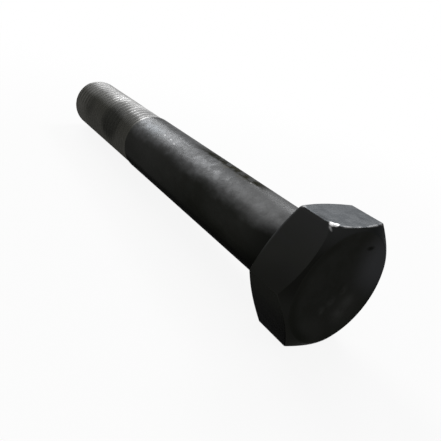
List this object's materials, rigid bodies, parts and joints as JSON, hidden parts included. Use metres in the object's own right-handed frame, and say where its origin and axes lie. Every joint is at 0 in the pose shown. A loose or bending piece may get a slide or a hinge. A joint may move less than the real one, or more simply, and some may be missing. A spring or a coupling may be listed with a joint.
{
  "type": "ring gear bolt",
  "caption": "Long forged hexagon head bolt, blackened, with a plain shank and a threaded end, lying on its side.",
  "frame": {"origin": "middle of the bearing face, the ring under the head that presses on the gear, on the bolt's axis", "axes": "+X along the bolt's axis from the head to the tip; +Z square to the uppermost wrench flat; the bolt lies on its side with the wrench flat that faces -Z down"},
  "size_m": [0.2187, 0.053, 0.046],
  "materials": {
    "blackened_steel": "satin, forged and blackened steel with a thin dark scale, worn bright on the edges of the head"
  },
  "bodies": {
    "root": {"bolt": "blackened_steel"}
  },
  "joints": []
}
